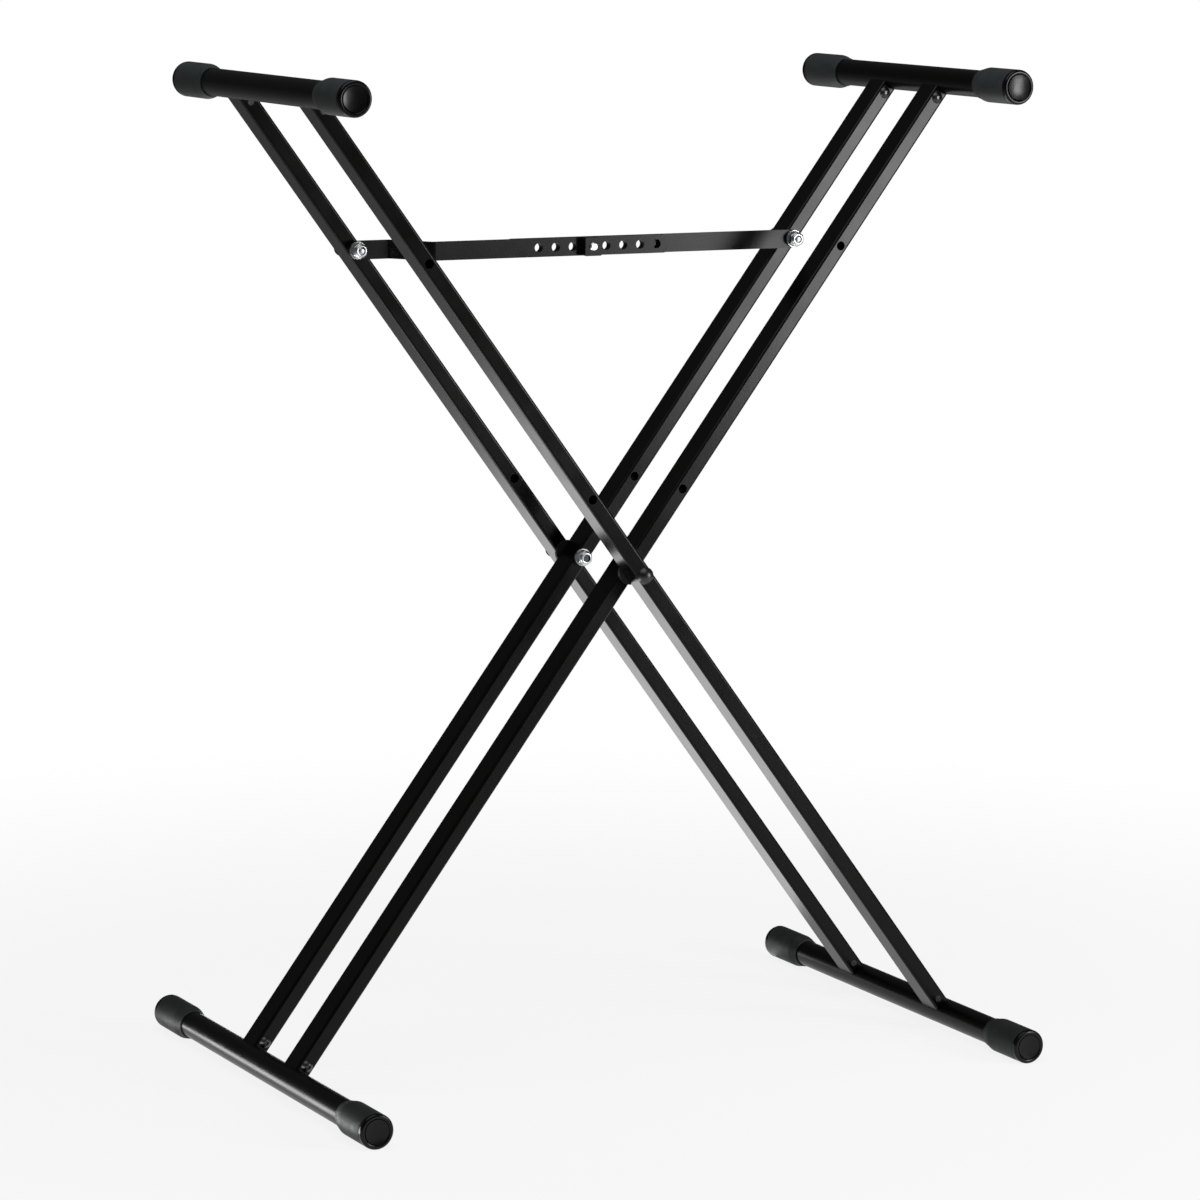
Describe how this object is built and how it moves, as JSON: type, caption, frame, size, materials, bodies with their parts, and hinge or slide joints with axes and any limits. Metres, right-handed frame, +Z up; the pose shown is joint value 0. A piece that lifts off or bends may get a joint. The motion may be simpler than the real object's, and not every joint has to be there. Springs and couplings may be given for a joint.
{
  "type": "keyboard stand",
  "caption": "Folding X-frame keyboard stand of black tube with round capped support and foot bars, and a hole-row strut with a lock that sets how far the legs open.",
  "frame": {"origin": "middle of the footprint at floor level", "axes": "+Z up, the bars run along Y and the stand's front is -Y; the legs cross in the XZ plane"},
  "size_m": [0.6996, 0.472, 0.9181],
  "materials": {
    "leg_paint": "black powder coat, half gloss",
    "bar_paint": "black powder coat, half gloss",
    "strut_paint": "black powder coat, half gloss",
    "support_cap": "slate grey soft plastic, satin",
    "foot_cap": "dark grey soft plastic, satin",
    "cap_plug": "black moulded plastic, glossy",
    "black_screw": "black oxide steel, glossy",
    "zinc": "bright zinc plate",
    "nylon": "black nylon"
  },
  "bodies": {
    "outer_frame": {"leg_outer_front": "leg_paint", "leg_outer_rear": "leg_paint", "support_bar_left": "bar_paint", "foot_bar_right": "bar_paint", "support_screws_left": "black_screw", "foot_screws_right": "black_screw", "support_plugs_left": "cap_plug", "foot_plugs_right": "cap_plug", "support_cap_left_front": "support_cap", "support_cap_left_rear": "support_cap", "foot_cap_right_front": "foot_cap", "foot_cap_right_rear": "foot_cap", "support_spigot_left_front": "bar_paint", "support_spigot_left_rear": "bar_paint", "foot_spigot_right_front": "bar_paint", "foot_spigot_right_rear": "bar_paint", "pivot_bolt_front": "black_screw", "pivot_bolt_rear": "black_screw", "pivot_nut_front": "zinc", "pivot_nut_rear": "zinc", "pivot_washer_rear": "zinc", "pivot_spacer_front": "nylon", "pivot_spacer_rear": "nylon", "strut_bolt_left": "black_screw", "strut_nut_left": "zinc", "strut_washer_left": "zinc", "strut_spacer_left": "nylon"},
    "inner_frame": {"leg_inner_front": "leg_paint", "leg_inner_rear": "leg_paint", "support_bar_right": "bar_paint", "foot_bar_left": "bar_paint", "support_screws_right": "black_screw", "foot_screws_left": "black_screw", "support_plugs_right": "cap_plug", "foot_plugs_left": "cap_plug", "support_cap_right_front": "support_cap", "support_cap_right_rear": "support_cap", "foot_cap_left_front": "foot_cap", "foot_cap_left_rear": "foot_cap", "support_spigot_right_front": "bar_paint", "support_spigot_right_rear": "bar_paint", "foot_spigot_left_front": "bar_paint", "foot_spigot_left_rear": "bar_paint", "strut_bolt_right": "black_screw", "strut_nut_right": "zinc", "strut_washer_right": "zinc", "strut_spacer_right": "nylon"},
    "left_strut": {"strut_left": "strut_paint", "lock_boss": "strut_paint"},
    "right_strut": {"strut_right": "strut_paint"},
    "lock": {"lock_screw": "zinc"}
  },
  "joints": [
    {"name": "fold", "type": "hinge", "parent": "outer_frame", "child": "inner_frame", "pos_m": [0, 0, 0.46062], "axis": [0, -1, 0], "range_deg": [0, 68]},
    {"name": "left_strut_swing", "type": "hinge", "parent": "outer_frame", "child": "left_strut", "pos_m": [-0.21855, 0, 0.7517], "axis": [0, -1, 0], "range_deg": [-53.1, 0]},
    {"name": "right_strut_swing", "type": "hinge", "parent": "inner_frame", "child": "right_strut", "pos_m": [0.21855, 0, 0.7517], "axis": [0, -1, 0], "range_deg": [0, 53.1]},
    {"name": "lock_screw_travel", "type": "slide", "parent": "left_strut", "child": "lock", "axis": [0, 1, 0], "range_m": [0, 0.0044]}
  ],
  "couplings": [
    {"joint": "left_strut_swing", "follows": "fold", "ratio": -0.78},
    {"joint": "right_strut_swing", "follows": "fold", "ratio": 0.78}
  ]
}
